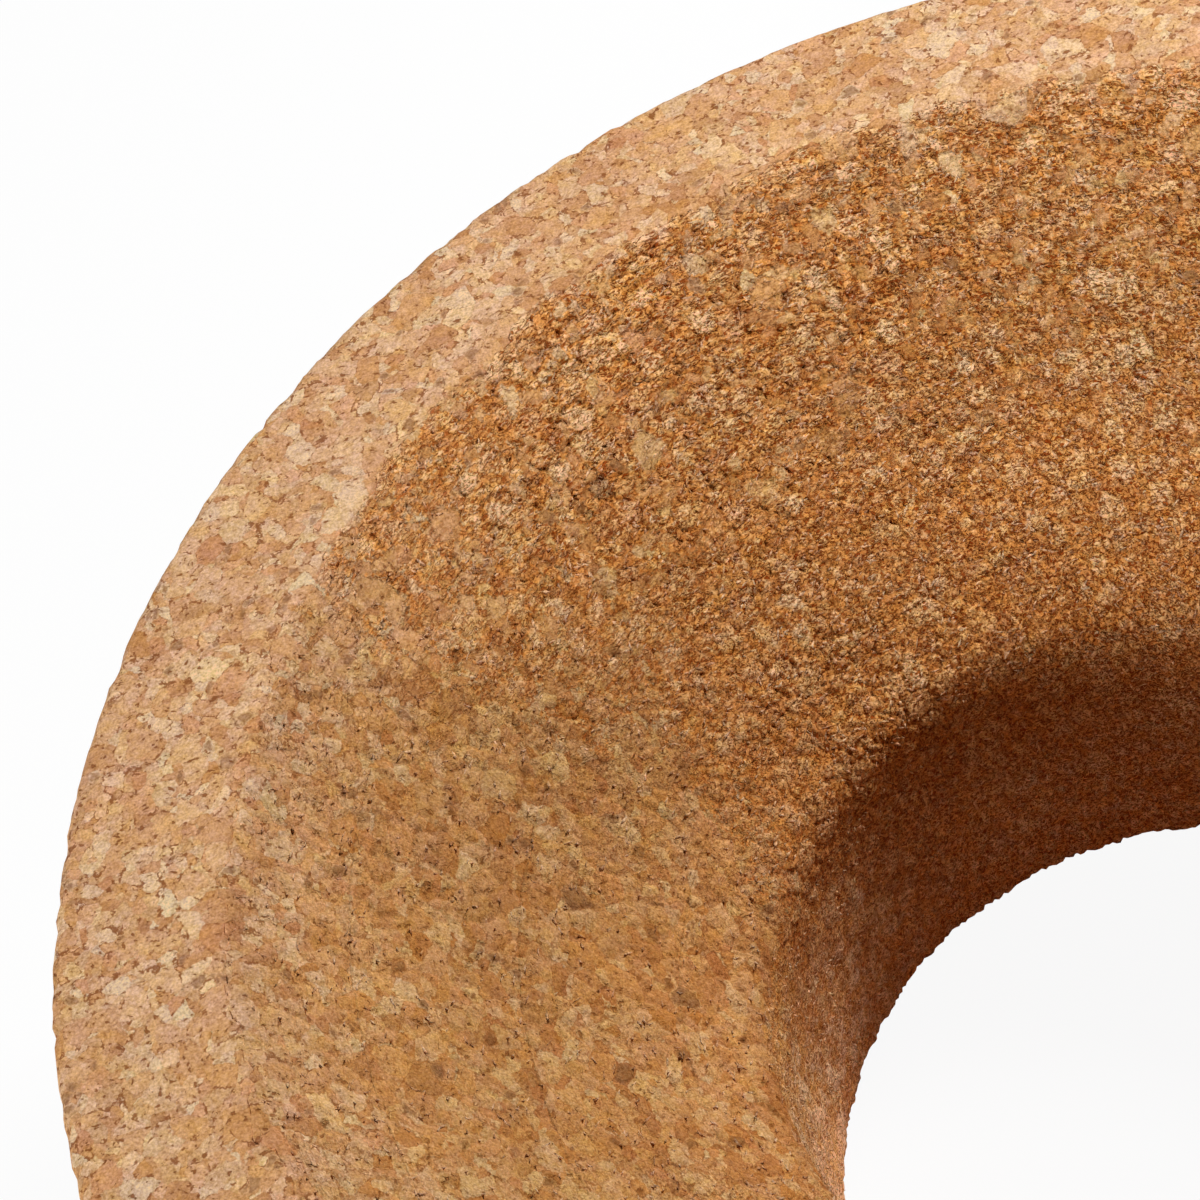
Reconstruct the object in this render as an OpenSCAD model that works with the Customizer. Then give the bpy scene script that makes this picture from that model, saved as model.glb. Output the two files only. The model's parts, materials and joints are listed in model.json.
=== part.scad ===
// Cork ring: a low, thick ring turned from one block of agglomerated cork, which holds a
// round-bottomed flask upright on a bench. A level rim surrounds a conical seat, and the seat
// runs over a rounded throat into a straight bore that goes right through.
// The ring stands on z = 0, centred on the Z axis, with its seat facing up.

/* [Ring] */
// Outside diameter
outer_d = 80; // [70:1:200]
// Height from the bench to the rim
height = 32; // [27:1:60]
// Diameter of the straight bore
bore_d = 32; // [16:1:48]

/* [Seat] */
// Radial width of the level rim
rim_w = 7.2; // [3:0.1:14]
// Depth of the conical seat, from the rim to the edge of the bore
seat_depth = 16; // [6:0.5:22]

/* [Edges] */
// Rounding of the throat, where the seat turns down into the bore
throat_r = 3; // [1:0.5:6]
// Rounding of the lip, where the rim turns down into the seat
lip_r = 1.2; // [0.4:0.1:3]
// Rounding of the rim's outer edge
rim_edge_r = 0.6; // [0.3:0.1:2]
// Bevel of the two bottom edges, outside and at the bore
foot_bevel = 0.5; // [0.2:0.1:1.5]

/* [Colour] */
// Colour of the cork
cork_colour = [0.78, 0.58, 0.38];

/* [Hidden] */
$fn = 96;

outer_r = outer_d / 2;
bore_r = bore_d / 2;
// Radius at which the rim would meet the seat if the lip were sharp
seat_r = outer_r - rim_w;
// Height at which the seat would meet the bore if the throat were sharp
throat_z = height - seat_depth;
// Fall of the seat, in degrees below level
seat_fall = atan2(seat_depth, seat_r - bore_r);
// Distance from each sharp corner to the two ends of its rounding
lip_run = lip_r * tan(seat_fall / 2);
throat_run = throat_r * tan((90 - seat_fall) / 2);

// Half section of the ring with each rounded edge cut straight across
function chamfered_section() = [
    [bore_r + foot_bevel, 0],
    [outer_r - foot_bevel, 0],
    [outer_r, foot_bevel],
    [outer_r, height - rim_edge_r],
    [outer_r - rim_edge_r, height],
    [seat_r + lip_run, height],
    [seat_r - lip_run * cos(seat_fall), height - lip_run * sin(seat_fall)],
    [bore_r + throat_run * cos(seat_fall), throat_z + throat_run * sin(seat_fall)],
    [bore_r, throat_z - throat_run],
    [bore_r, foot_bevel]
];

// Circle that rounds an edge from inside the cork, where it touches both faces
module edge_circle(centre, r) {
    translate(centre) circle(r = r);
}

// Half section of the ring, right of the Z axis
module ring_section() {
    polygon(chamfered_section());
    edge_circle([outer_r - rim_edge_r, height - rim_edge_r], rim_edge_r);
    edge_circle([seat_r + lip_run, height - lip_r], lip_r);
    edge_circle([bore_r + throat_r, throat_z - throat_run], throat_r);
}

module cork_ring() {
    color(cork_colour) rotate_extrude() ring_section();
}

cork_ring();
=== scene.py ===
"""Cork ring: a turned ring of agglomerated cork that holds a round-bottomed flask upright.

The ring is one turned body with the torn shreds that the cutter left in its seat and bore.
Sizes are in millimetres, and are turned to metres where they meet the mesh.
"""

import json
import math

import bpy
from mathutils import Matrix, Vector


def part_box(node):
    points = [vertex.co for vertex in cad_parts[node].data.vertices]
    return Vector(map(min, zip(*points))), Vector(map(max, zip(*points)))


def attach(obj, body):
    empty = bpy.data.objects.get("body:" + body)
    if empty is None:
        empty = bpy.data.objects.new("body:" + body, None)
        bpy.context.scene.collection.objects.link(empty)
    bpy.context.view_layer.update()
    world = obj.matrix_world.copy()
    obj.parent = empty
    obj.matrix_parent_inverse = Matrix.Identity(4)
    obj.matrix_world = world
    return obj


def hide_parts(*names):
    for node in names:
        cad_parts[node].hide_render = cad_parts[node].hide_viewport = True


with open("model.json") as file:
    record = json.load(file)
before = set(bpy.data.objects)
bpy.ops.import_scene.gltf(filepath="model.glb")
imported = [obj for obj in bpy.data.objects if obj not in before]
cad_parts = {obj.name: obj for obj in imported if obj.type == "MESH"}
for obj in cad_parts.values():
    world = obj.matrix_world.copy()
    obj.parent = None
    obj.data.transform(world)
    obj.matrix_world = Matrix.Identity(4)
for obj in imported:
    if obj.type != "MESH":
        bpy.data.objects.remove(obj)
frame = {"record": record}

bl_info = {
    "name": "Cork ring",
    "version": (1, 0, 0),
    "blender": (4, 5, 0),
    "location": "View3D > Sidebar > Cork ring",
    "description": "Builds a turned cork ring with its granules and torn shreds",
    "category": "Add Mesh",
}

NODE = "cork_ring"
MM = 0.001

ring_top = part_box(NODE)[1]
MOUNTS = {mount["name"]: mount for mount in frame["record"]["mounts"]}

OUTER_R = ring_top.x / MM
HEIGHT = ring_top.z / MM
BORE_R = MOUNTS["bore"]["dims"]["r_mm"]
SEAT_DEPTH = HEIGHT - MOUNTS["flask_seat"]["pos_m"][2] / MM
THROAT_Z = HEIGHT - SEAT_DEPTH
RIM_WIDTH = 7.2
LIP_R = OUTER_R - RIM_WIDTH
THROAT_ROUND = 3.0
LIP_ROUND = 1.2
RIM_EDGE_ROUND = 0.6
FOOT_BEVEL = 0.5

# The torn skin: how far it reaches onto the rim, its thickness, its lowest height and its bands.
SKIN_RIM = 1.8
SKIN_DEPTH = 1.3
SKIN_END_Z = 12.6
SKIN_BANDS = 4

# The flat map that the materials are baked on, the margin round it, and the rows it is cut into.
FLAT_MAP = "OFBake"
MAP_MARGIN = 0.01
BODY_ROWS = 2.0
SKIN_ROWS = 5.0


# ---------------------------------------------------------------- node building


def maths(operation, swapped=False):
    """A method of a wire that adds the node for one operation. Swapped, the wire comes second."""

    def method(self, other):
        values = (other, self) if swapped else (self, other)
        vectors = any(isinstance(v, Wire) and v.socket.type == "VECTOR" for v in values)
        kind = "ShaderNodeVectorMath" if vectors else "ShaderNodeMath"
        return self.board.add(kind, dict(enumerate(values)), operation=operation)

    return method


class Wire:
    """One output socket of a node tree. Arithmetic on wires adds the nodes that work it out."""

    def __init__(self, board, socket):
        self.board = board
        self.socket = socket

    def __getitem__(self, name):
        """Another output of the same node."""
        return Wire(self.board, self.socket.node.outputs[name])

    def __neg__(self):
        return self * -1.0

    __add__ = maths("ADD")
    __radd__ = maths("ADD", swapped=True)
    __sub__ = maths("SUBTRACT")
    __rsub__ = maths("SUBTRACT", swapped=True)
    __mul__ = maths("MULTIPLY")
    __rmul__ = maths("MULTIPLY", swapped=True)
    __truediv__ = maths("DIVIDE")
    __rtruediv__ = maths("DIVIDE", swapped=True)
    __pow__ = maths("POWER")
    __gt__ = maths("GREATER_THAN")
    __lt__ = maths("LESS_THAN")
    least = maths("MINIMUM")
    most = maths("MAXIMUM")


# The powers of a level of light for red, green and blue.
SHADING = (0.85, 1.05, 1.30)


class Board:
    """Adds nodes to one node tree."""

    def __init__(self, tree):
        self.tree = tree

    def add(self, kind, feeds=None, output=0, **settings):
        """Adds a node of this kind, sets it up, feeds its sockets, and returns one output."""
        node = self.tree.nodes.new(kind)
        for name, value in settings.items():
            setattr(node, name, value)
        for socket, value in (feeds or {}).items():
            self.feed(node.inputs[socket], value)
        return Wire(self, node.outputs[output]) if node.outputs else node

    def feed(self, socket, value):
        """Links a wire to a socket or sets the socket's own value."""
        if isinstance(value, Wire):
            self.tree.links.new(value.socket, socket)
        elif socket.type == "VECTOR" and isinstance(value, (int, float)):
            socket.default_value = (value,) * 3
        else:
            socket.default_value = value

    def step(self, value, start, end, low=0.0, high=1.0):
        """Goes smoothly from low to high while value goes from start to end."""
        feeds = {0: value, 1: start, 2: end, 3: low, 4: high}
        return self.add("ShaderNodeMapRange", feeds, interpolation_type="SMOOTHSTEP")

    def scale(self, vector, factor):
        """A vector made longer by a factor."""
        return self.add("ShaderNodeVectorMath", {0: vector, "Scale": factor}, operation="SCALE")

    def random(self, low, high, seed, data_type="FLOAT_VECTOR"):
        """A random vector or number for each point."""
        first = {"FLOAT_VECTOR": 0, "FLOAT": 2}[data_type]
        output = {"FLOAT_VECTOR": 0, "FLOAT": 1}[data_type]
        feeds = {first: low, first + 1: high, "Seed": seed}
        return self.add("FunctionNodeRandomValue", feeds, output=output, data_type=data_type)

    def noise(self, place, scale, detail=2.0, roughness=0.5, **more):
        """Noise whose features are scale millimetres across, from 0 to 1 about 0.5."""
        feeds = {"Vector": place, "Scale": 1 / scale, "Detail": detail, "Roughness": roughness}
        return self.add("ShaderNodeTexNoise", {**feeds, **more})

    def wave(self, *place_and_scale, **more):
        """Noise from -0.5 to 0.5 about 0. It takes what noise takes."""
        return self.noise(*place_and_scale, **more) - 0.5

    def cells(self, place, size, feature="F1"):
        """Voronoi cells that are size millimetres across."""
        feeds = {"Vector": place, "Scale": 1 / size, "Randomness": 1.0}
        return self.add("ShaderNodeTexVoronoi", feeds, feature=feature)

    def mix(self, factor, a, b):
        """Number a where factor is 0 and number b where it is 1."""
        return self.add("ShaderNodeMix", {0: factor, 2: a, 3: b}, data_type="FLOAT")

    def blend(self, factor, a, b, blend_type="MIX"):
        """Colour a where factor is 0 and colour b where it is 1."""
        feeds = {0: factor, 6: a, 7: b}
        return self.add("ShaderNodeMix", feeds, output=2, data_type="RGBA", blend_type=blend_type)

    def tint(self, colour, by):
        """A colour multiplied by another."""
        return self.blend(1.0, colour, by, "MULTIPLY")

    def shade(self, colour, level):
        """A colour made lighter or darker by a level of which 1 is none. Darker is also redder."""
        levels = {axis: level ** power for axis, power in enumerate(SHADING)}
        return self.tint(colour, self.add("ShaderNodeCombineXYZ", levels))

    def ramp(self, value, stops, interpolation="LINEAR"):
        """Colours along value. Stops are (position, colour)."""
        node = self.tree.nodes.new("ShaderNodeValToRGB")
        node.color_ramp.interpolation = interpolation
        elements = node.color_ramp.elements
        while len(elements) < len(stops):
            elements.new(0.5)
        for element, (position, colour) in zip(elements, stops):
            element.position = position
            element.color = (*colour, 1.0)
        self.feed(node.inputs["Fac"], value)
        return Wire(self, node.outputs["Color"])


# ---------------------------------------------------------------- cork


def parts_of(board, value):
    """The three numbers of a colour or a vector."""
    return board.add("ShaderNodeSeparateXYZ", {0: value})


def about_zero(board, colour):
    """A colour's three numbers as a vector, each from -0.5 to 0.5."""
    return board.add("ShaderNodeVectorMath", {0: colour, 1: (0.5, 0.5, 0.5)}, operation="SUBTRACT")


def radius_of(parts):
    """How far a place lies from the ring's axis."""
    return (parts["X"] * parts["X"] + parts["Y"] * parts["Y"]) ** 0.5


# Granules across, in millimetres, and how far their borders drift and fray.
LARGE_GRANULE = 1.05
SMALL_GRANULE = 0.58
DRIFT_SIZE = 1.9
DRIFT_REACH = 0.9
BORDER_FRAY_SIZE = 0.24
BORDER_FRAY_REACH = 0.20

# From which of their random numbers on granules are crushed small, and are bark.
CRUSHED_FROM = 0.36
LARGE_BARK_FROM = 0.985
SMALL_BARK_FROM = 0.93

# The granules' colours, from their darkest to their lightest, and the tints of their kinds.
TAN = (
    (0.00, (0.560, 0.275, 0.125)),
    (0.20, (0.650, 0.345, 0.168)),
    (0.50, (0.710, 0.402, 0.208)),
    (0.80, (0.750, 0.462, 0.255)),
    (1.00, (0.800, 0.545, 0.325)),
)
TINTS = (
    (0.00, (1.01, 0.95, 0.94)),
    (0.12, (1.00, 1.00, 1.00)),
    (0.42, (1.02, 1.00, 0.90)),
    (0.62, (1.00, 1.00, 1.00)),
    (0.76, (0.97, 1.02, 1.02)),
    (0.90, (1.00, 1.00, 1.00)),
)
MIDDLE = (0.710, 0.402, 0.208, 1.0)

# Tints by which a colour is multiplied.
WHITE = (1.0, 1.0, 1.0, 1.0)
# Painted shade in clefts, and painted light on what stands out.
CLEFT_SHADE = (0.920, 0.570, 0.240, 1.0)
PEAK_LIGHT = (1.200, 1.200, 1.060, 1.0)
# Painted shade in the clefts of the fine shreds, and painted light on them.
FINE_CLEFT_SHADE = (0.480, 0.200, 0.050, 1.0)
FINE_PEAK_LIGHT = (1.150, 1.240, 1.240, 1.0)
YELLOWER = (1.020, 1.000, 0.800, 1.0)
PINKER = (0.980, 1.000, 1.200, 1.0)
# Painted light on the bore where the lamps reach into it.
BORE_LIGHT = (1.350, 1.650, 1.850, 1.0)
GOLDEN = (1.00, 0.89, 0.66, 1.0)

# Painted shade and painted light at shares of the ring's height: darkest just below the throat, lighter
# towards the foot and towards the top.
SHADE_BY_HEIGHT = (
    (0.05, (1.00, 1.02, 1.30)),
    (0.25, (0.80, 0.80, 0.95)),
    (0.38, (0.70, 0.66, 0.70)),
    (0.46, (0.74, 0.70, 0.70)),
    (0.53, (0.98, 0.96, 0.96)),
    (0.63, (0.92, 0.92, 0.94)),
    (0.77, (0.86, 0.87, 0.90)),
    (0.90, (0.98, 1.00, 1.05)),
    (1.00, (1.06, 1.10, 1.18)),
)

# Shreds across, in millimetres: those of the surface, and those of the colour and the bump.
SHRED_WIDTH = 0.22
FINE_SHRED_WIDTH = 0.14
FINE_SHRED_HEIGHT = 0.10

# Shreds run along the turning: millimetres to a radian, and how far they are drawn out along it.
SHRED_RADIUS = 24.0
SHRED_SQUEEZE = 0.6

# Where torn and worn cork begin, in millimetres: how large the waves of the border are, how far
# they reach, and how far outside and inside the lip's radius the change starts and ends.
TORN_BORDER = (2.4, 3.0, 0.45, 0.35)
WORN_BORDER = (1.6, 4.0, 2.6, 5.0)
RAGGED_PATCH_SIZE = 5.0

# The noise over cut cork: its size in millimetres, how much it shades the cork, and its height.
STREAK_SIZE, STREAK_SHADE, STREAK_HEIGHT = 0.22, 0.80, 0.06
SPECKLE_SIZE, SPECKLE_SHADE, SPECKLE_HEIGHT = 0.105, 1.20, 0.03
MOTTLE_SIZE, MOTTLE_SHADE = 0.55, 0.45
PIT_DEPTH = 0.03

# How much speckle shades torn cork, and the most that it lightens it.
TORN_SPECKLE_SHADE = 2.3
TORN_SPECKLE_MOST = 1.5

# The size of the yellower and pinker patches, and how much further green and blue go from the
# middle tan than they were.
HUE_SIZE = 0.9
GREEN_GAIN = 0.07
BLUE_GAIN = 0.17

CORK_ROUGHNESS = 0.88
CORK_SPECULAR = 0.05


class Granules:
    """The pressed granules at a place in millimetres, alike in a shader and in a geometry tree.

    It holds each granule's own random colour and the depth inside its border in millimetres.
    """

    def __init__(self, board, place):
        drift = about_zero(board, board.noise(place, DRIFT_SIZE, detail=1.0)["Color"])
        ragged = about_zero(board, board.noise(place, BORDER_FRAY_SIZE, detail=1.0)["Color"])
        warped = place + drift * DRIFT_REACH + ragged * BORDER_FRAY_REACH
        big = board.cells(warped, LARGE_GRANULE)
        fine = board.cells(warped, SMALL_GRANULE)
        big_depth = (board.cells(warped, LARGE_GRANULE, "F2") - big) * (0.5 * LARGE_GRANULE)
        fine_depth = (board.cells(warped, SMALL_GRANULE, "F2") - fine) * (0.5 * SMALL_GRANULE)
        crushed = parts_of(board, big["Color"])["X"] > CRUSHED_FROM
        self.board = board
        self.own = board.blend(crushed, big["Color"], fine["Color"])
        self.depth = board.mix(crushed, big_depth, big_depth.least(fine_depth))
        self.tone = parts_of(board, self.own)["Y"]
        self.kind = parts_of(board, self.own)["Z"]
        self.bark = self.kind > board.mix(crushed, LARGE_BARK_FROM, SMALL_BARK_FROM)

    def colour(self):
        """The granules' colours: tan, buff and cream, some pink, and some grey-brown bark."""
        board = self.board
        chosen = bpy.context.scene.cork_colours
        tan = board.ramp(self.tone, TAN)
        tinted = board.tint(tan, board.ramp(self.kind, TINTS, "CONSTANT"))
        heart = board.step(self.depth, 0.0, 0.16)
        bark = board.blend(heart, chosen.bark_edge, chosen.bark_heart)
        return board.blend(self.bark * board.step(self.depth, 0.0, 0.10) * 0.8, tinted, bark)


def share_inside(board, place, border, detail, roughness):
    """0 outside a wavy border near the lip and 1 inside it."""
    size, reach, outside, inside = border
    wander = board.wave(place, size, detail=detail, roughness=roughness)
    radius = radius_of(parts_of(board, place)) + wander * reach
    return board.step(radius, LIP_R + outside, LIP_R - inside)


def torn_share(board, place):
    """How torn the cork is at a place in millimetres: 0 where it was sanded, 1 where it was turned."""
    return share_inside(board, place, TORN_BORDER, 4.0, 0.62)


def ragged_share(board, place):
    """How ragged the turned cork is: least at the ring's left and right, most at its front and back."""
    parts = parts_of(board, place)
    across = parts["Y"] * parts["Y"]
    share = across / (across + parts["X"] * parts["X"])
    wander = board.wave(place, RAGGED_PATCH_SIZE, detail=2.0)
    return board.step(share + wander * 0.5, -0.10, 0.75)


def worn_share(board, place):
    """How golden the cork is: 0 on the rim, and 1 where a flask has rubbed the seat."""
    return share_inside(board, place, WORN_BORDER, 3.0, 0.6)


def shade_by_height(board, place):
    """Painted shade and painted light from the foot to the top: it is darkest just below the throat."""
    return board.ramp(parts_of(board, place)["Z"] / HEIGHT, SHADE_BY_HEIGHT)


def shreds_of(board, place, width):
    """Shreds so many millimetres wide that run along the turning: 1 on a shred and 0 in a cleft."""
    parts = parts_of(board, place)
    turn = board.add("ShaderNodeMath", {0: -parts["Y"], 1: -parts["X"]}, operation="ARCTAN2")
    along = turn * SHRED_RADIUS * SHRED_SQUEEZE
    flat = board.add("ShaderNodeCombineXYZ", {0: along, 1: radius_of(parts), 2: parts["Z"]})
    worms = board.noise(flat, width, detail=2.0, roughness=0.6, Distortion=1.0)
    return board.step(worms, 0.35, 0.53)


def torn_finish(board, place, colour, fray):
    """The colour of torn cork, with painted shade in the clefts between its finest shreds and painted
    light on them, and the height of these shreds in millimetres.
    """
    shreds = shreds_of(board, place, FINE_SHRED_WIDTH)
    # Painted shade in the clefts between the fine shreds and painted light on their tops.
    level = board.blend(fray, WHITE, board.blend(shreds, FINE_CLEFT_SHADE, FINE_PEAK_LIGHT))
    return board.tint(colour, level), shreds * fray * FINE_SHRED_HEIGHT


def new_material(name, roughness, specular):
    """A new material with its board and its shader."""
    material = bpy.data.materials.new(name)
    material.use_nodes = True
    shader = material.node_tree.nodes["Principled BSDF"]
    shader.inputs["Roughness"].default_value = roughness
    shader.inputs["Specular IOR Level"].default_value = specular
    return material, Board(material.node_tree), shader


def new_cork(name):
    """A matt material. Returns it with its board, its shader and the place in millimetres."""
    material, board, shader = new_material(name, CORK_ROUGHNESS, CORK_SPECULAR)
    place = board.add("ShaderNodeTexCoord", output="Object") * (1 / MM)
    return material, board, shader, place


def finish(board, shader, place, colour, height):
    """Feeds the shader its colour and a bump of so many millimetres.

    The colour is yellower and pinker by turns. Where it is darker it is also redder, and at its
    lightest it is cream.
    """
    cream = bpy.context.scene.cork_colours.cream
    hue = board.step(board.noise(place, HUE_SIZE, detail=4.0, roughness=0.85), 0.25, 0.75)
    parts = parts_of(board, board.tint(colour, board.blend(hue, YELLOWER, PINKER)))
    green = parts["Y"] ** (1.0 + GREEN_GAIN) * MIDDLE[1] ** -GREEN_GAIN
    blue = parts["Z"] ** (1.0 + BLUE_GAIN) * MIDDLE[2] ** -BLUE_GAIN
    levels = {0: parts["X"], 1: green.least(cream[1]), 2: blue.least(cream[2])}
    board.feed(shader.inputs["Base Color"], board.add("ShaderNodeCombineXYZ", levels))
    board.feed(shader.inputs["Normal"], board.add("ShaderNodeBump", {"Height": height, "Distance": MM}))


def stored(board, name, output="Fac"):
    """A value that the mesh holds at each point."""
    return board.add("ShaderNodeAttribute", output=output, attribute_name=name)


def sanded_cork(torn=False):
    """Cut cork: a mosaic of granules with short cracks between them. Torn, it has some fine shreds.

    Streaks run their own way in each granule. Pits are where they are darkest.
    """
    material, board, shader, place = new_cork("chipped cork" if torn else "sanded cork")
    granules = Granules(board, place)
    colour = granules.colour()
    turned = board.add("ShaderNodeVectorRotate", {0: place, 4: about_zero(board, granules.own) * 12.0},
                       rotation_type="EULER_XYZ")
    streaks = board.wave(turned * (1.0, 1.0, 0.4), STREAK_SIZE, detail=2.0, roughness=0.6)
    speckle = board.wave(place, SPECKLE_SIZE, detail=1.0, roughness=0.7)
    mottle = board.wave(place, MOTTLE_SIZE, detail=2.0, roughness=0.6)
    level = 1.0 + streaks * STREAK_SHADE + speckle * SPECKLE_SHADE + mottle * MOTTLE_SHADE
    colour = board.shade(colour, level)
    border = board.step(granules.depth + speckle * 0.09, 0.052, 0.010)
    run = board.step(mottle + streaks * 0.3, 0.06, 0.12)
    pit = board.step(streaks + mottle * 0.8, -0.18, -0.25)
    crack = border * (0.08 + run * 0.80)
    worn = worn_share(board, place)
    crack = crack.most(pit * 0.85) * board.mix(worn, 1.0, 0.60)
    colour = board.blend(crack, colour, bpy.context.scene.cork_colours.crack)
    deep = board.step(parts_of(board, place)["Z"], THROAT_Z, THROAT_Z - 5.0)
    # In the golden seat the colour also takes the painted shade and painted light by height.
    golden = board.tint(shade_by_height(board, place), board.blend(deep, GOLDEN, WHITE))
    colour = board.blend(worn, colour, board.tint(colour, golden))
    height = speckle * SPECKLE_HEIGHT + streaks * STREAK_HEIGHT - pit * PIT_DEPTH
    if torn:
        colour, shreds = torn_finish(board, place, colour, stored(board, "fray"))
        height = height + shreds
    finish(board, shader, place, colour, height)
    return material


def torn_cork():
    """Cork torn by the cutter: its granules' colours with their painted shade and light, stored with
    the mesh, under fine shreds.
    """
    material, board, shader, place = new_cork("torn cork")
    speckle = board.wave(place, SPECKLE_SIZE, detail=2.0, roughness=0.7)
    level = (1.0 + speckle * TORN_SPECKLE_SHADE).least(TORN_SPECKLE_MOST)
    colour = board.shade(stored(board, "granule", "Color"), level)
    torn_colour, shreds = torn_finish(board, place, colour, stored(board, "fray"))
    finish(board, shader, place, torn_colour, shreds)
    return material


# ---------------------------------------------------------------- ring body


def arc(centre, radius, start, end, spacing):
    """Points of an arc from one angle in degrees to another, both ends left out."""
    count = max(2, round(abs(math.radians(end - start)) * radius / spacing))
    turns = [math.radians(start + (end - start) * i / count) for i in range(1, count)]
    return [(centre[0] + radius * math.cos(t), centre[1] + radius * math.sin(t)) for t in turns]


def stretch(start, end, spacing):
    """Points of a straight run, both ends kept."""
    length = math.dist(start, end)
    count = max(1, round(length / spacing))
    return [tuple(a + (b - a) * i / count for a, b in zip(start, end)) for i in range(count + 1)]


# How far apart the ring's points lie along its section, in millimetres.
FOOT_SPACING = 2.2
SIDE_SPACING = 1.2
RIM_EDGE_SPACING = 0.14
RIM_SPACING = 0.26
LIP_SPACING = 0.16
UPPER_SEAT_SPACING = 0.18
SEAT_SPACING = 2.0
THROAT_SPACING = 0.5
BORE_SPACING = 0.40

# How far down from the lip the seat's points lie closer, because the torn skin begins there.
UPPER_SEAT = 1.8


class Section:
    """The corners and arcs of the ring's half section, as (radius, height) points in millimetres."""

    def __init__(self, rim_width):
        seat_r = OUTER_R - rim_width
        fall = math.atan2(SEAT_DEPTH, seat_r - BORE_R)
        lip_run = LIP_ROUND * math.tan(fall / 2)
        throat_run = THROAT_ROUND * math.tan((math.pi / 2 - fall) / 2)
        uphill = Vector((math.cos(fall), math.sin(fall)))
        self.fall = math.degrees(fall)
        self.lip_start = Vector((seat_r + lip_run, HEIGHT))
        self.lip_centre = self.lip_start - Vector((0, LIP_ROUND))
        self.lip_end = Vector((seat_r, HEIGHT)) - lip_run * uphill
        self.throat_start = Vector((BORE_R, THROAT_Z)) + throat_run * uphill
        self.throat_end = Vector((BORE_R, THROAT_Z - throat_run))
        self.throat_centre = self.throat_end + Vector((THROAT_ROUND, 0))

    def body(self):
        """The whole section as a closed run, anticlockwise."""
        edge_centre = Vector((OUTER_R - RIM_EDGE_ROUND, HEIGHT - RIM_EDGE_ROUND))
        shallow = self.lip_end + (self.throat_start - self.lip_end).normalized() * UPPER_SEAT
        return (
            stretch((BORE_R + FOOT_BEVEL, 0), (OUTER_R - FOOT_BEVEL, 0), FOOT_SPACING)
            + stretch((OUTER_R, FOOT_BEVEL), (OUTER_R, edge_centre.y), SIDE_SPACING)
            + arc(edge_centre, RIM_EDGE_ROUND, 0, 90, RIM_EDGE_SPACING)
            + stretch((edge_centre.x, HEIGHT), self.lip_start, RIM_SPACING)
            + arc(self.lip_centre, LIP_ROUND, 90, 90 + self.fall, LIP_SPACING)
            + stretch(self.lip_end, shallow, UPPER_SEAT_SPACING)
            + stretch(shallow, self.throat_start, SEAT_SPACING)[1:]
            + arc(self.throat_centre, THROAT_ROUND, 90 + self.fall, 180, THROAT_SPACING)
            + stretch(self.throat_end, (BORE_R, FOOT_BEVEL), BORE_SPACING)
        )

    def seat(self, spacing):
        """The seat at one spacing, from a point on the rim to a point in the bore."""
        return (
            stretch(self.lip_start + Vector((SKIN_RIM, 0)), self.lip_start, spacing)
            + arc(self.lip_centre, LIP_ROUND, 90, 90 + self.fall, spacing)
            + stretch(self.lip_end, self.throat_start, spacing)
            + arc(self.throat_centre, THROAT_ROUND, 90 + self.fall, 180, spacing)
            + stretch(self.throat_end, (BORE_R, SKIN_END_Z), spacing)
        )


def ways_out(points, closed):
    """The way out of a section at each of its points."""
    last = len(points) - 1
    ways = []
    for i in range(len(points)):
        before = points[i - 1] if closed or i else points[0]
        after = points[(i + 1) % len(points)] if closed or i < last else points[last]
        run = Vector(after) - Vector(before)
        ways.append(Vector((run.y, -run.x)).normalized())
    return ways


# How much of its length a hidden stretch of an outline takes up on the flat map.
HIDDEN_SHARE = 0.1


class Outline:
    """A closed run of points to sweep round Z, with what the trees need at each of them.

    Points from below lie hidden under the others. The run says how far along each point lies,
    from 0 to 1.
    """

    def __init__(self, points, ways, below=()):
        self.points = [Vector(point) for point in points] + list(below)
        self.top = [1.0] * len(points) + [0.0] * len(below)
        self.ways = list(ways) + [Vector((0, 0))] * len(below)
        self.run = [0.0]
        for i in range(1, len(self.points) + 1):
            after = i % len(self.points)
            step = (self.points[after] - self.points[i - 1]).length
            hidden = self.top[i - 1] == 0.0 or self.top[after] == 0.0
            self.run.append(self.run[-1] + step * (HIDDEN_SHARE if hidden else 1.0))
        self.run = [value / self.run[-1] for value in self.run[:-1]]


def body_outline(section):
    """The outline of the ring's body."""
    points = section.body()
    return Outline(points, ways_out(points, True))


def skin_outlines(section, spacing, bands):
    """The outlines of the bands of torn skin that lie side by side on the seat."""
    points = section.seat(spacing)
    ways = ways_out(points, False)
    outlines = []
    for band in range(bands):
        start = (len(points) - 1) * band // bands
        end = (len(points) - 1) * (band + 1) // bands
        below = [Vector(points[i]) - ways[i] * SKIN_DEPTH for i in (end, (start + end) // 2, start)]
        outlines.append(Outline(points[start:end + 1], ways[start:end + 1], below))
    return outlines


def new_object(name, data):
    """A new object in the scene."""
    made = bpy.data.objects.new(name, data)
    bpy.context.scene.collection.objects.link(made)
    return made


def mesh_object(name, points, edges=(), faces=()):
    """A new object in the scene from points in metres."""
    mesh = bpy.data.meshes.new(name)
    mesh.from_pydata(points, edges, faces)
    return new_object(name, mesh)


def geometry_tree(name, inputs):
    """A geometry tree with the given named inputs. Returns its board and the inputs' wires."""
    tree = bpy.data.node_groups.new(name, "GeometryNodeTree")
    tree.interface.new_socket("Geometry", in_out="INPUT", socket_type="NodeSocketGeometry")
    tree.interface.new_socket("Geometry", in_out="OUTPUT", socket_type="NodeSocketGeometry")
    for label, (kind, default) in inputs.items():
        socket = tree.interface.new_socket(label, in_out="INPUT", socket_type=kind)
        if default is not None:
            socket.default_value = default
    board = Board(tree)
    entry = board.add("NodeGroupInput")
    return board, entry


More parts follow.
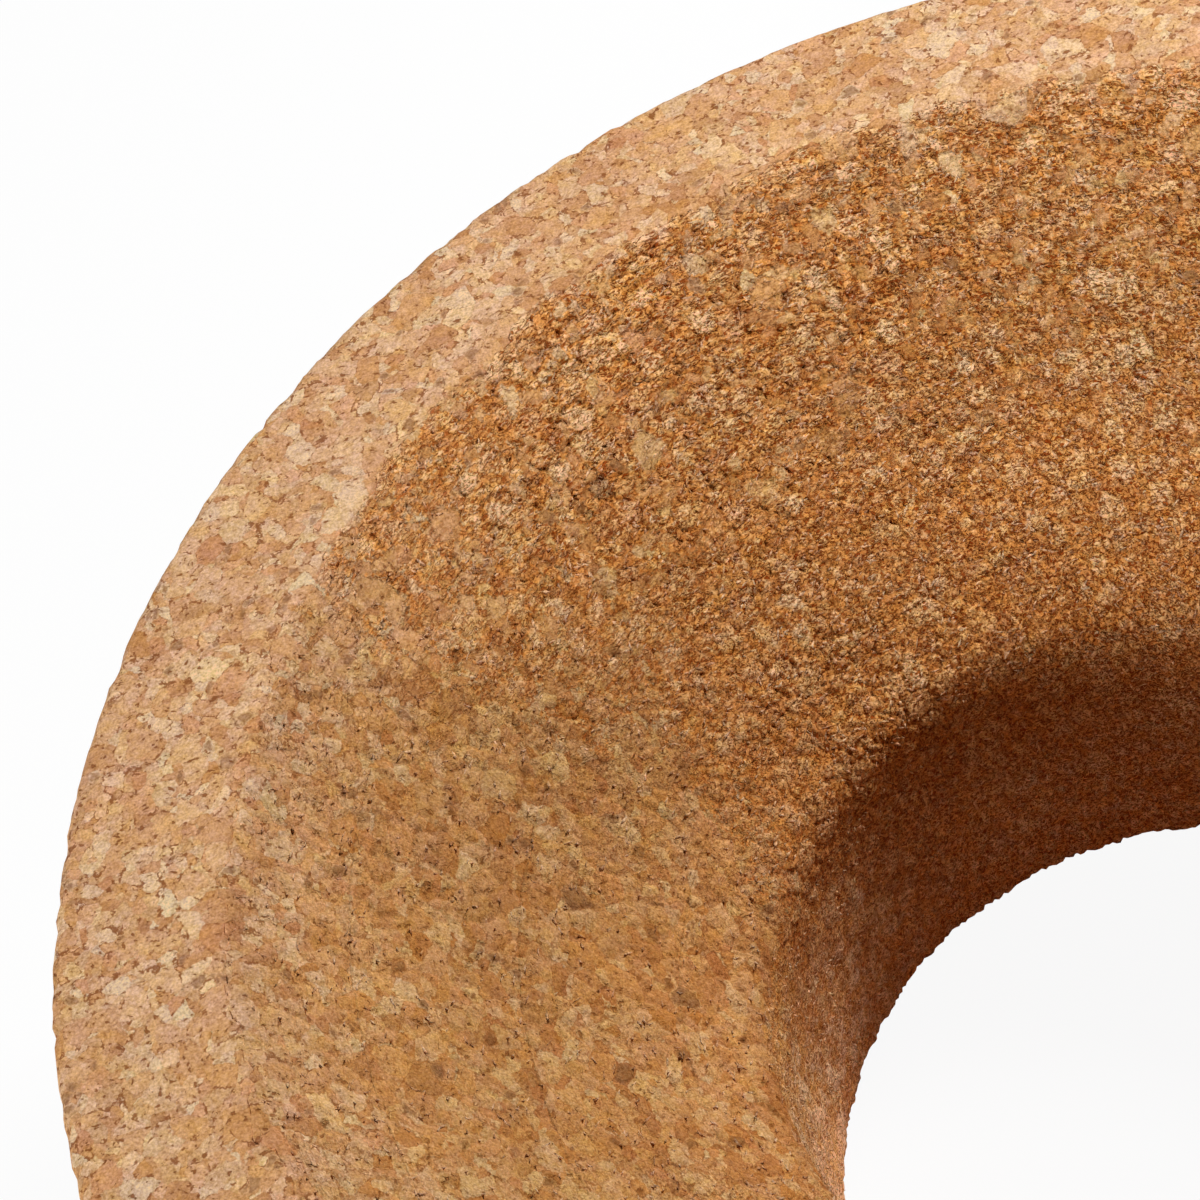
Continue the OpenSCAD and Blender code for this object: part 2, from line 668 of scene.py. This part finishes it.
def run_tree(target, board, values):
    """Runs a geometry tree on an object and leaves its result as the object's own plain mesh."""
    modifier = target.modifiers.new(board.tree.name, "NODES")
    modifier.node_group = board.tree
    sockets = {item.name: item.identifier for item in board.tree.interface.items_tree
               if item.in_out == "INPUT"}
    for label, value in values.items():
        modifier[sockets[label]] = value
    graph = bpy.context.evaluated_depsgraph_get()
    mesh = bpy.data.meshes.new_from_object(target.evaluated_get(graph), depsgraph=graph)
    target.modifiers.remove(modifier)
    old = target.data
    target.data = mesh
    mesh.name = target.name
    # A tree may leave an empty first slot, from faces that had no material yet.
    if mesh.materials[0] is None:
        mesh.materials.pop(index=0)
    bpy.data.meshes.remove(old)


def point_place(board):
    """The place of each point of a mesh in millimetres."""
    return board.add("GeometryNodeInputPosition") * (1 / MM)


def store(board, mesh, name, value, data_type="FLOAT", domain="POINT"):
    """Stores a value at each point of a mesh, or at each part that the domain says."""
    feeds = {"Geometry": mesh, "Name": name, "Value": value}
    return board.add("GeometryNodeStoreNamedAttribute", feeds, data_type=data_type, domain=domain)


def store_map(board, mesh, flat):
    """Stores a flat map at each corner of a mesh's faces."""
    return store(board, mesh, FLAT_MAP, flat, "FLOAT2", "CORNER")


def paint(board, mesh, material, where=True):
    """Gives a material to a mesh's faces, or only to those where a selection holds."""
    feeds = {"Geometry": mesh, "Selection": where, "Material": material}
    return board.add("GeometryNodeSetMaterial", feeds)


def end_tree(board, mesh):
    """Ends a tree with a mesh of its own and returns its board."""
    solid = board.add("GeometryNodeRealizeInstances", {"Geometry": mesh})
    board.add("NodeGroupOutput", {"Geometry": solid})
    return board


# The relief's noises across, in millimetres.
LUMP_SIZE = 4.5
TEAR_SIZE = 0.85
BITE_SIZE = 0.9
JOINT_PATCH_SIZE = 0.75

# How far the relief goes up or down, in millimetres.
SANDED_LUMPS = 0.10
TORN_LUMPS = 0.45
TORN_TEARS = 0.36
TORN_SHREDS = 0.16
TORN_JOINTS = 0.10
TORN_BITES = 0.14
SMOOTH_PLATEAU = 0.13
RAGGED_PLATEAU = 0.17
SANDED_TEARS = 0.05
SANDED_JOINTS = 0.06
EDGE_TEARS = 0.16
EDGE_JOINTS = 0.05


class Relief:
    """What the cork's surface is like at a place in millimetres.

    torn says how torn it is and fray how strongly fine shreds show on it, both from 0 to 1.
    height says how far it stands out in millimetres, and colour is its colour where it is torn, with
    painted shade and painted light in it.
    """

    def __init__(self, board, place):
        parts = parts_of(board, place)
        radius = radius_of(parts)
        torn = torn_share(board, place)
        ragged = ragged_share(board, place)
        granules = Granules(board, place)
        rim_edge = board.step(radius, OUTER_R - 0.9, OUTER_R - 0.3)
        lumps = board.wave(place, LUMP_SIZE, detail=1.0)
        tears = board.wave(place, TEAR_SIZE, detail=3.0, roughness=0.68)
        bitten = board.step(board.noise(place, BITE_SIZE, detail=2.0), 0.42, 0.28)
        joints = board.step(granules.depth, 0.13, 0.0)
        some = board.step(board.noise(place, JOINT_PATCH_SIZE, detail=1.0), 0.45, 0.60)
        shreds = shreds_of(board, place, SHRED_WIDTH)
        own = parts_of(board, granules.own)["X"]

        # The seat is finer towards the throat, which is deep, and some granules came through whole.
        low = board.step(parts["Z"], HEIGHT - 4.0, THROAT_Z + 2.0)
        deep = board.step(parts["Z"], THROAT_Z + 0.5, THROAT_Z - 2.0)
        whole = board.step(board.add("ShaderNodeMath", {0: own * 7.3}, operation="FRACT"), 0.66, 0.72)
        whole = whole * (1.0 - low * 0.8)
        rough = board.mix(ragged, 0.30, 1.0) * (1.0 - whole * 0.65) * (1.0 - low * 0.35)
        plateau = (own - 0.5) * board.mix(ragged, SMOOTH_PLATEAU, RAGGED_PLATEAU) * (1.0 - low * 0.5)
        torn_height = (tears * TORN_TEARS * rough + plateau
                       + (shreds - 0.8) * TORN_SHREDS * rough - joints * TORN_JOINTS)
        sanded_height = (tears * (SANDED_TEARS + rim_edge * EDGE_TEARS)
                         - joints * some * (SANDED_JOINTS + rim_edge * EDGE_JOINTS))
        self.torn = torn
        self.fray = (board.mix(ragged, 0.10, 0.90) * (1.0 - whole * 0.70)).most(deep * 0.75)
        self.height = (lumps * board.mix(torn, SANDED_LUMPS, TORN_LUMPS)
                       - bitten * torn * ragged * (1.0 - low) * TORN_BITES
                       + board.mix(torn, sanded_height, torn_height))

        # Painted light makes what stands out paler and painted shade makes the clefts darker and
        # redder; painted light also makes the bore paler at the ring's left and right.
        peak_light_share = board.mix(rough, 0.75, shreds) * (1.0 - joints * 0.8)
        level = board.blend(torn, WHITE, board.blend(peak_light_share, CLEFT_SHADE, PEAK_LIGHT))
        # Painted shade and painted light by height.
        level = board.tint(level, shade_by_height(board, place))
        # Painted light: the bore is paler at the ring's left and right, where the lamps reach into it.
        side = board.step(parts["X"] * parts["X"] / (radius * radius), 0.88, 1.0)
        level = board.tint(level, board.blend(side * deep, WHITE, BORE_LIGHT))
        even = board.blend(torn * (ragged * 0.25 + low * 0.35), granules.colour(), MIDDLE)
        self.colour = board.tint(even, level)


def named(board, name, data_type="FLOAT"):
    """A value that the mesh holds at each point."""
    return board.add("GeometryNodeInputNamedAttribute", {"Name": name}, data_type=data_type)


def swept_ring(board, entry):
    """A section swept round Z, which also holds how far round each point lies, from 0 to 1."""
    profile = board.add("GeometryNodeMeshToCurve", {"Mesh": entry["Geometry"]})
    path = board.add("GeometryNodeCurvePrimitiveCircle",
                     {"Resolution": entry["Steps"], "Radius": entry["Path radius"]})
    upright = board.add("GeometryNodeSetCurveNormal", {"Curve": path}, mode="Z_UP")
    marked = store(board, upright, "turn", board.add("GeometryNodeSplineParameter"))
    return board.add("GeometryNodeCurveToMesh", {"Curve": marked, "Profile Curve": profile})


def unrolled(board, mesh, rows):
    """Gives a swept ring a flat map: the ring unrolled, and cut into rows that fill a square."""

    def mean_and_split(value):
        """A face's mean of a value from 0 to 1, and whether the value starts again within the face."""
        mean = board.add("GeometryNodeFieldOnDomain", {0: value}, data_type="FLOAT", domain="FACE")
        gap = board.add("ShaderNodeMath", {0: mean - value}, operation="ABSOLUTE")
        return mean, gap > 0.3

    turn, run = named(board, "turn"), named(board, "run")
    mean, split = mean_and_split(turn)
    row = board.add("ShaderNodeMath", {0: mean * rows}, operation="FLOOR")
    row = board.mix(split, row, rows - 1.0)
    turn = turn + split * (turn < mean)
    mean, split = mean_and_split(run)
    run = run + split * (run < mean)
    along = (turn * rows - row) * (1.0 - 2 * MAP_MARGIN) + MAP_MARGIN
    up = (row + run * (1.0 - 4 * MAP_MARGIN) + 2 * MAP_MARGIN) / rows
    return store_map(board, mesh, board.add("ShaderNodeCombineXYZ", {0: along, 1: up, 2: 0.0}))


def outward(board):
    """The way out of the section that each point was swept from."""
    level = point_place(board) * (1.0, 1.0, 0.0)
    level = board.add("ShaderNodeVectorMath", {0: level}, operation="NORMALIZE")
    up = board.add("ShaderNodeCombineXYZ", {0: 0.0, 1: 0.0, 2: named(board, "out_z")})
    return board.scale(level, named(board, "out_r")) + up


def finish_ring(board, ring, entry, height, relief, way):
    """Moves a swept ring's surface by a height in millimetres and stores what its materials need."""
    offset = board.scale(way, height * MM)
    moved = board.add("GeometryNodeSetPosition", {"Geometry": ring, "Offset": offset})
    held = store(board, moved, "torn", relief.torn)
    held = store(board, held, "fray", relief.fray)
    # The stored granule colour carries the relief's painted shade and painted light.
    held = store(board, held, "granule", relief.colour, "FLOAT_COLOR")
    held = unrolled(board, held, entry["Rows"])
    return board.add("GeometryNodeSetShadeSmooth", {"Geometry": held})


# How far the ring's body lies under the torn skin, how far the skin stands out of it, and how
# deep the skin is hidden where the cork isn't torn, in millimetres.
BODY_UNDER = 0.45
SKIN_PROUD = 0.05
SKIN_HIDDEN = 0.35

# From how much tearing on the body's faces are torn cork, up to how much fray the skin's faces
# are chipped cork, and how far that wanders from face to face.
TORN_FROM = 0.97
CHIPPED_UNTIL = 0.45
CHIPPED_WANDER = 0.12
CHIPPED_SEED = 7

RING_INPUTS = {
    "Steps": ("NodeSocketInt", 500),
    "Path radius": ("NodeSocketFloat", 0.03),
    "Rows": ("NodeSocketFloat", BODY_ROWS),
    "Sanded": ("NodeSocketMaterial", None),
    "Torn": ("NodeSocketMaterial", None),
}


def turning_tree():
    """Turns a section into a ring about Z and roughens it. Its seat lies deep under the torn skin."""
    board, entry = geometry_tree("turned ring", RING_INPUTS)
    ring = swept_ring(board, entry)
    place = point_place(board)
    z = parts_of(board, place)["Z"]
    relief = Relief(board, place)
    off_floor = board.step(z, 0.05, 0.6)
    way = outward(board) * board.add("ShaderNodeCombineXYZ", {0: 1.0, 1: 1.0, 2: off_floor})
    under = board.step(relief.torn, 0.30, 1.00) * board.step(z, SKIN_END_Z + 1.1, SKIN_END_Z + 1.9)
    height = relief.height - under * BODY_UNDER
    smooth = finish_ring(board, ring, entry, height, relief, way)
    sanded = paint(board, smooth, entry["Sanded"])
    deep = named(board, "torn") > TORN_FROM
    return end_tree(board, paint(board, sanded, entry["Torn"], deep))


def skin_tree():
    """Turns the seat's torn skin. It comes out of the ring where the cork is torn."""
    board, entry = geometry_tree("torn skin", RING_INPUTS)
    ring = swept_ring(board, entry)
    place = point_place(board)
    z = parts_of(board, place)["Z"]
    relief = Relief(board, place)
    out = board.step(relief.torn, 0.0, 0.28) * board.step(z, SKIN_END_Z + 0.2, SKIN_END_Z + 1.1)
    height = board.mix(out, -SKIN_HIDDEN, relief.height + SKIN_PROUD) * named(board, "top")
    smooth = finish_ring(board, ring, entry, height, relief, outward(board))
    torn = paint(board, smooth, entry["Torn"])
    wander = board.random(-CHIPPED_WANDER, CHIPPED_WANDER, CHIPPED_SEED, "FLOAT")
    chipped = named(board, "fray") + wander < CHIPPED_UNTIL
    return end_tree(board, paint(board, torn, entry["Sanded"], chipped))


# ---------------------------------------------------------------- torn shreds


# How far a splinter's ends curl up, and the size and reach of the noise that bends it where it
# lies, in millimetres.
CURL = 0.8
SHAKE_SIZE = 0.22
SHAKE_REACH = 0.16

# The size of the splinters' clumps, in millimetres, and the least and the most of a splinter's
# length, width and thickness as shares of a middling one's.
CLUMP_SIZE = 0.9
SPLINTER_LEAST = (0.50, 0.60, 0.6)
SPLINTER_MOST = (1.5, 1.4, 1.3)

# How light the splinters are, how strongly fine shreds show on them, and their margin in their
# own cells of the map.
SPLINTER_LEVELS = (0.90, 1.25)
SPLINTER_FRAY = 0.30
SPLINTER_MARGIN = 0.05


def splinter(board, material):
    """One curled splinter, 1 mm long and thick, before it is scaled, with a flat map of its own."""
    sphere = board.add("GeometryNodeMeshUVSphere", {"Segments": 4, "Rings": 2, "Radius": 0.5 * MM})
    mapped = paint(board, store_map(board, sphere, sphere["UV Map"]), material)
    laid = board.add("GeometryNodeTransform", {"Geometry": mapped, "Rotation": (0, math.pi / 2, 0)})
    own_x = parts_of(board, point_place(board))["X"]
    curl = board.add("ShaderNodeCombineXYZ", {2: (own_x * own_x * 4.0 - 0.2) * CURL * MM})
    return board.add("GeometryNodeSetPosition", {"Geometry": laid, "Offset": curl})


def scattering_tree():
    """Scatters splinters over the torn cork of a ring, most of them along its turning."""
    board, entry = geometry_tree("loose shreds", {
        "Density": ("NodeSocketFloat", 5.0),
        "Smooth share": ("NodeSocketFloat", 1.0),
        "Lowest": ("NodeSocketFloat", 0.0),
        "Highest": ("NodeSocketFloat", 32.0),
        "Length": ("NodeSocketFloat", 0.4),
        "Width": ("NodeSocketFloat", 0.12),
        "Seed": ("NodeSocketInt", 1),
        "Torn": ("NodeSocketMaterial", None),
    })
    place = point_place(board)
    parts = parts_of(board, place)
    inside = (parts["Z"] > entry["Lowest"]) * (parts["Z"] < entry["Highest"])
    ragged = ragged_share(board, place)
    clumps = board.step(board.noise(place, CLUMP_SIZE, detail=2.0), 0.35, 0.6, 0.35, 1.3)
    share = torn_share(board, place) * named(board, "top") * inside * clumps
    density = entry["Density"] * (1 / MM / MM) * share * board.mix(ragged, entry["Smooth share"], 1.0)
    feeds = {"Mesh": entry["Geometry"], "Density": density, "Seed": entry["Seed"]}
    spread = board.add("GeometryNodeDistributePointsOnFaces", feeds, distribute_method="RANDOM")

    # Each splinter lies on the surface, more along the turning than across it.
    any_way = board.random((-1, -1, -1), (1, 1, 1), entry["Seed"] + 1)
    along = board.add("ShaderNodeCombineXYZ", {0: -parts["Y"], 1: parts["X"], 2: 0.0})
    along = board.add("ShaderNodeVectorMath", {0: along}, operation="NORMALIZE")
    out = spread["Normal"]
    way = board.scale(along, 0.9) + any_way + board.scale(out, 0.15)
    lying = board.add("FunctionNodeAlignRotationToVector", {"Vector": way}, axis="X")
    facing = board.add("FunctionNodeAlignRotationToVector", {"Rotation": lying, "Vector": out},
                       axis="Z", pivot_axis="X")
    size = board.random(SPLINTER_LEAST, SPLINTER_MOST, entry["Seed"] + 2)
    shape = board.add("ShaderNodeCombineXYZ",
                      {0: entry["Length"], 1: entry["Width"], 2: entry["Width"] * 0.8})
    feeds = {"Points": spread["Points"], "Instance": splinter(board, entry["Torn"]),
             "Rotation": facing, "Scale": size * shape}
    placed = board.add("GeometryNodeInstanceOnPoints", feeds)

    # Each has the colour of the granule that it lies on and its own cell of a square map.
    level = board.random(*SPLINTER_LEVELS, entry["Seed"] + 3, "FLOAT")
    colour = board.shade(Granules(board, point_place(board)).colour(), level)
    count = board.add("GeometryNodeAttributeDomainSize", {"Geometry": placed}, output="Instance Count",
                      component="INSTANCES")
    cells = board.add("ShaderNodeMath", {0: count ** 0.5}, operation="CEIL")
    index = board.add("GeometryNodeInputIndex") + 0.5
    row = board.add("ShaderNodeMath", {0: index / cells}, operation="FLOOR")
    cell = board.add("ShaderNodeCombineXYZ", {0: index - row * cells - 0.5, 1: row, 2: 0.0})
    held = store(board, placed, "granule", colour, "FLOAT_COLOR", "INSTANCE")
    held = store(board, held, "cell", cell, "FLOAT_VECTOR", "INSTANCE")
    solid = board.add("GeometryNodeRealizeInstances", {"Geometry": held})
    own_map = named(board, FLAT_MAP, "FLOAT_VECTOR") * (1.0 - 2 * SPLINTER_MARGIN) + SPLINTER_MARGIN
    flat = board.scale(own_map + named(board, "cell", "FLOAT_VECTOR"), 1.0 / cells)
    mapped = store_map(board, solid, flat)
    shake = about_zero(board, board.noise(point_place(board), SHAKE_SIZE, detail=1.0)["Color"])
    feeds = {"Geometry": mapped, "Offset": board.scale(shake, SHAKE_REACH * MM)}
    bent = board.add("GeometryNodeSetPosition", feeds)
    frayed = store(board, bent, "fray", SPLINTER_FRAY)
    smooth = board.add("GeometryNodeSetShadeSmooth", {"Geometry": frayed})
    board.add("NodeGroupOutput", {"Geometry": paint(board, smooth, entry["Torn"])})
    return board


# ---------------------------------------------------------------- settings


class RingSizes(bpy.types.PropertyGroup):
    """Sizes of the ring that the frame doesn't give."""

    rim_width: bpy.props.FloatProperty(
        name="Rim width", description="Radial width of the level rim, in millimetres",
        default=RIM_WIDTH, min=3.0, max=14.0)
    steps: bpy.props.IntProperty(
        name="Steps", description="Faces round the whole ring", default=580, min=64, max=640)
    skin_steps: bpy.props.IntProperty(
        name="Skin steps", description="Faces round the torn skin, a multiple of 5",
        default=1280, min=60, max=1600)
    skin_spacing: bpy.props.FloatProperty(
        name="Skin spacing", description="Distance between the torn skin's points, in millimetres",
        default=0.122, min=0.08, max=2.0)
    shred_density: bpy.props.FloatProperty(
        name="Shred density", description="Loose shreds on each square millimetre",
        default=4.6, min=0.0)
    shred_length: bpy.props.FloatProperty(
        name="Shred length", description="Length of a middling shred, in millimetres",
        default=0.40, min=0.1, max=2.0)
    shred_width: bpy.props.FloatProperty(
        name="Shred width", description="Width of a middling shred, in millimetres",
        default=0.13, min=0.03, max=1.0)


class CorkColours(bpy.types.PropertyGroup):
    """Colours of what stands out among the tan granules."""

    bark_edge: bpy.props.FloatVectorProperty(
        name="Bark edge", description="Colour of a bark granule at its border",
        default=(0.210, 0.092, 0.042, 1.0), size=4, min=0.0, max=1.0, subtype="COLOR")
    bark_heart: bpy.props.FloatVectorProperty(
        name="Bark heart", description="Colour of a bark granule inside its border",
        default=(0.370, 0.200, 0.105, 1.0), size=4, min=0.0, max=1.0, subtype="COLOR")
    crack: bpy.props.FloatVectorProperty(
        name="Crack", description="Colour of the cracks and pits between and in granules",
        default=(0.260, 0.092, 0.034, 1.0), size=4, min=0.0, max=1.0, subtype="COLOR")
    cream: bpy.props.FloatVectorProperty(
        name="Cream", description="Colour past which no cork gets greener or bluer",
        default=(0.920, 0.640, 0.360, 1.0), size=4, min=0.0, max=1.0, subtype="COLOR")


class StageSettings(bpy.types.PropertyGroup):
    """Light and background."""

    key_power: bpy.props.FloatProperty(
        name="Key power", description="Power of the lamp behind the ring's right",
        default=0.60, min=0.0, unit="POWER")
    fill_power: bpy.props.FloatProperty(
        name="Fill power", description="Power of the lamp at the ring's left",
        default=4.4, min=0.0, unit="POWER")
    front_power: bpy.props.FloatProperty(
        name="Front power", description="Power of the low lamp in front of the ring's left",
        default=4.2, min=0.0, unit="POWER")
    sky: bpy.props.FloatProperty(
        name="Sky", description="Strength of the even light from all round",
        default=0.01, min=0.0, subtype="FACTOR")


# ---------------------------------------------------------------- pieces


def keep(piece):
    """Puts a finished piece on the root body and hides the CAD part that it stands for."""
    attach(piece, "root")
    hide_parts(NODE)


def swept(name, outline, board, values):
    """A piece of the model that a tree sweeps round Z from an outline."""
    path_r = (OUTER_R + BORE_R) / 2
    order = list(reversed(range(len(outline.points))))
    flat = [((outline.points[i].x - path_r) * MM, -outline.points[i].y * MM, 0) for i in order]
    piece = mesh_object(name, flat, [(i, (i + 1) % len(flat)) for i in range(len(flat))])
    marks = {
        "top": outline.top,
        "run": outline.run,
        "out_r": [way.x for way in outline.ways],
        "out_z": [way.y for way in outline.ways],
    }
    for label, numbers in marks.items():
        held = piece.data.attributes.new(label, "FLOAT", "POINT")
        held.data.foreach_set("value", [numbers[i] for i in order])
    run_tree(piece, board, values | {"Path radius": path_r * MM})
    keep(piece)


def scatter(name, source, board, values):
    """Scatters shreds over a piece of the model and keeps them as a piece of their own."""
    shreds = new_object(name, bpy.data.objects[source].data.copy())
    run_tree(shreds, board, values)
    keep(shreds)


# ---------------------------------------------------------------- operators


class CORK_OT_ring(bpy.types.Operator):
    """Turns the ring's body from its section"""

    bl_idname = "cork.ring"
    bl_label = "Ring body"

    def execute(self, context):
        sizes = context.scene.ring_sizes
        swept("ring_body", body_outline(Section(sizes.rim_width)), turning_tree(), {
            "Steps": sizes.steps, "Rows": BODY_ROWS, "Sanded": sanded_cork(), "Torn": torn_cork()})
        return {"FINISHED"}


class CORK_OT_skin(bpy.types.Operator):
    """Turns the seat's torn skin in bands that lie side by side"""

    bl_idname = "cork.skin"
    bl_label = "Torn skin"

    def execute(self, context):
        sizes = context.scene.ring_sizes
        board = skin_tree()
        outlines = skin_outlines(Section(sizes.rim_width), sizes.skin_spacing, SKIN_BANDS)
        chipped = sanded_cork(torn=True)
        for number, outline in enumerate(outlines, start=1):
            swept(f"seat_skin_{number}", outline, board, {
                "Steps": sizes.skin_steps, "Rows": SKIN_ROWS, "Sanded": chipped,
                "Torn": bpy.data.materials["torn cork"]})
        return {"FINISHED"}


class CORK_OT_shreds(bpy.types.Operator):
    """Scatters loose shreds over the seat and the bore"""

    bl_idname = "cork.shreds"
    bl_label = "Loose shreds"

    def execute(self, context):
        sizes = context.scene.ring_sizes
        board = scattering_tree()
        split = THROAT_Z - 1.0
        seat = {
            "Density": sizes.shred_density, "Torn": bpy.data.materials["torn cork"],
            "Length": sizes.shred_length, "Width": sizes.shred_width,
            "Smooth share": 0.25, "Lowest": split, "Highest": HEIGHT + 1.0,
        }
        bore = seat | {
            "Length": sizes.shred_length * 0.7, "Width": sizes.shred_width * 0.8,
            "Smooth share": 0.7, "Lowest": 1.0, "Highest": split, "Seed": 90,
        }
        for number in range(1, SKIN_BANDS + 1):
            values = seat | {"Seed": 10 * number}
            scatter(f"seat_shreds_{number}", f"seat_skin_{number}", board, values)
        scatter("bore_shreds", "ring_body", board, bore)
        return {"FINISHED"}


class CORK_OT_stage(bpy.types.Operator):
    """Sets the floor, the lamps, the sky and the camera"""

    bl_idname = "cork.stage"
    bl_label = "Stage"

    def execute(self, context):
        settings = context.scene.stage_settings
        corners = [(x * FLOOR_HALF, y * FLOOR_HALF, 0) for x, y in ((-1, -1), (1, -1), (1, 1), (-1, 1))]
        floor = mesh_object("floor", corners, faces=[(0, 1, 2, 3)])
        floor.location.z = -FLOOR_GAP
        floor.data.materials.append(floor_material())
        sky(context.scene, settings.sky)
        context.scene.view_settings.view_transform = "Standard"
        lamp("key", KEY_LAMP, settings.key_power)
        lamp("fill", FILL_LAMP, settings.fill_power)
        lamp("front", FRONT_LAMP, settings.front_power)
        camera()
        return {"FINISHED"}


# ---------------------------------------------------------------- stage


# The floor's half width, and how far it lies under the ring, in metres.
FLOOR_HALF = 2.0
FLOOR_GAP = 0.0002

# How light the paper is, and how much of what the camera sees of it is its own white glow.
PAPER_GREY = 0.88
PAPER_GLOW = 0.93

# Each lamp's bearing and height in degrees, and its distance and width in metres.
KEY_LAMP = (42, 42, 0.26, 0.06)
FILL_LAMP = (180, 42, 1.2, 0.25)
FRONT_LAMP = (238, 18, 0.8, 0.15)
LAMP_TARGET = Vector((0, 0, 0.02))

# The camera's place in metres, its turn in radians and its lens in millimetres.
CAMERA_PLACE = (0.0, -0.06733, 0.12384)
CAMERA_TURN = (0.67489, 0.26944, -0.10200)
CAMERA_LENS = 95.34
CAMERA_SENSOR = 36.0


def seen_directly(board):
    """1 for the rays that the camera sees straight on, mirrored or through something, and else 0."""
    rays = board.add("ShaderNodeLightPath")
    return rays["Is Camera Ray"].most(rays["Is Glossy Ray"]).most(rays["Is Transmission Ray"])


def floor_material():
    """White paper that looks white to the camera and still takes the ring's shadow."""
    material, board, paper = new_material("floor paper", 1.0, 0.0)
    paper.inputs["Base Color"].default_value = (PAPER_GREY, PAPER_GREY, PAPER_GREY, 1.0)
    glow = board.add("ShaderNodeEmission", {"Color": (1, 1, 1, 1), "Strength": 1.0})
    feeds = {0: seen_directly(board) * PAPER_GLOW, 1: Wire(board, paper.outputs[0]), 2: glow}
    surface = material.node_tree.nodes["Material Output"].inputs["Surface"]
    board.feed(surface, board.add("ShaderNodeMixShader", feeds))
    return material


def sky(scene, strength):
    """Even light from all round, which the camera sees as white."""
    world = bpy.data.worlds.new("sky")
    world.use_nodes = True
    scene.world = world
    board = Board(world.node_tree)
    background = world.node_tree.nodes["Background"]
    background.inputs["Color"].default_value = (1, 1, 1, 1)
    board.feed(background.inputs["Strength"], board.mix(seen_directly(board), strength, 1.0))


def lamp(name, layout, power):
    """A square soft lamp that faces the ring. The camera doesn't see it."""
    azimuth, elevation, distance, size = layout
    data = bpy.data.lights.new(name, "AREA")
    data.shape = "SQUARE"
    data.size = size
    data.energy = power
    made = new_object(name, data)
    around, up = math.radians(azimuth), math.radians(elevation)
    way = Vector((math.cos(around) * math.cos(up), math.sin(around) * math.cos(up), math.sin(up)))
    made.location = LAMP_TARGET + way * distance
    made.rotation_euler = (-way).to_track_quat("-Z", "Y").to_euler()
    made.visible_camera = False


def camera():
    """The camera, close above the front of the ring and turned towards its left."""
    data = bpy.data.cameras.new("camera")
    data.sensor_width = CAMERA_SENSOR
    data.lens = CAMERA_LENS
    data.clip_start = 0.01
    data.clip_end = 20.0
    made = new_object("camera", data)
    made.location = CAMERA_PLACE
    made.rotation_euler = CAMERA_TURN
    bpy.context.scene.camera = made


# ---------------------------------------------------------------- add-on


class CORK_PT_panel(bpy.types.Panel):
    """The ring's settings and the steps that build it"""

    bl_idname = "CORK_PT_panel"
    bl_label = "Cork ring"
    bl_space_type = "VIEW_3D"
    bl_region_type = "UI"
    bl_category = "Cork ring"

    def draw(self, context):
        scene = context.scene
        for group in (scene.ring_sizes, scene.cork_colours, scene.stage_settings):
            for name in group.__annotations__:
                self.layout.prop(group, name)
        for step in STEPS:
            self.layout.operator(step.bl_idname)


STEPS = (CORK_OT_ring, CORK_OT_skin, CORK_OT_shreds, CORK_OT_stage)
CLASSES = (RingSizes, CorkColours, StageSettings, *STEPS, CORK_PT_panel)


def register():
    for made in CLASSES:
        bpy.utils.register_class(made)
    bpy.types.Scene.ring_sizes = bpy.props.PointerProperty(type=RingSizes)
    bpy.types.Scene.cork_colours = bpy.props.PointerProperty(type=CorkColours)
    bpy.types.Scene.stage_settings = bpy.props.PointerProperty(type=StageSettings)


def unregister():
    del bpy.types.Scene.stage_settings
    del bpy.types.Scene.cork_colours
    del bpy.types.Scene.ring_sizes
    for made in reversed(CLASSES):
        bpy.utils.unregister_class(made)


def main():
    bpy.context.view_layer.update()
    register()
    bpy.ops.cork.ring()
    bpy.ops.cork.skin()
    bpy.ops.cork.shreds()
    bpy.ops.cork.stage()


if __name__ == "__main__":
    main()
